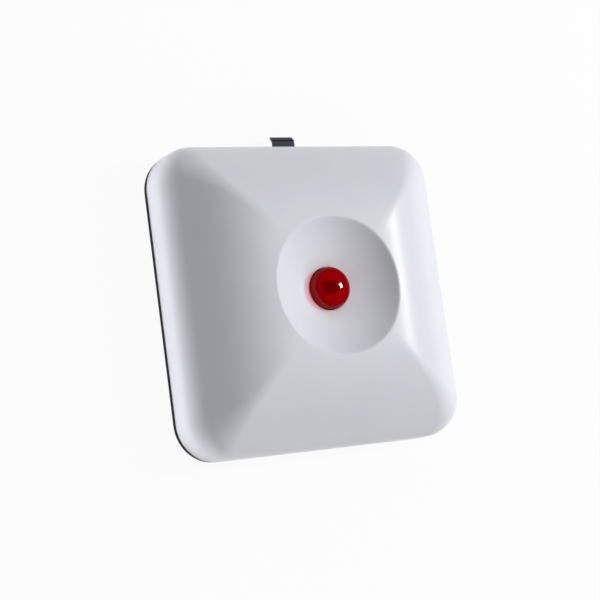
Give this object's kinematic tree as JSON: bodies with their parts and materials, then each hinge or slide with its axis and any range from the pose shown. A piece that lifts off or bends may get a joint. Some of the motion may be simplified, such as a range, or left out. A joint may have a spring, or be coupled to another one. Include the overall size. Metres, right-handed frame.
{
  "type": "remote indicator lamp",
  "caption": "Square wall-mounted alarm indicator: white dished cover with a red dome lens, dark base tray and a latch tongue at the top.",
  "frame": {"origin": "centre of the back face, behind the middle of the lens", "axes": "+Z out of the wall towards the viewer, +Y up as mounted, +X to the viewer's right"},
  "size_m": [0.082, 0.0858, 0.0242],
  "materials": {
    "cover_white": "glossy white moulding",
    "lens_red": "clear red moulding",
    "ring_natural": "plain natural moulding",
    "base_black": "satin black moulding",
    "clip_black": "blackened spring steel",
    "screw_steel": "zinc plated steel",
    "board_green": "green solder mask",
    "led_red": "red epoxy",
    "lead_tin": "tinned wire",
    "spacer_black": "black moulding",
    "terminal_grey": "grey moulding",
    "cage_nickel": "nickel plated brass",
    "resistor_body": "beige lacquer",
    "diode_body": "black epoxy"
  },
  "bodies": {
    "root": {"base": "base_black", "cover": "cover_white", "lens": "lens_red", "lens_ring": "ring_natural", "latch_clip": "clip_black", "latch_screw": "screw_steel", "circuit_board": "board_green", "board_screws": "screw_steel", "led": "led_red", "led_leads": "lead_tin", "led_spacer": "spacer_black", "terminal_housing": "terminal_grey", "wire_clamp_1": "cage_nickel", "wire_clamp_2": "cage_nickel", "wire_clamp_3": "cage_nickel", "wire_clamp_4": "cage_nickel", "terminal_screws": "screw_steel", "terminal_pins": "cage_nickel", "resistor_1": "resistor_body", "resistor_2": "resistor_body", "resistor_leads": "lead_tin", "diode_1": "diode_body", "diode_2": "diode_body", "diode_3": "diode_body", "diode_4": "diode_body", "diode_leads": "lead_tin"}
  },
  "joints": []
}
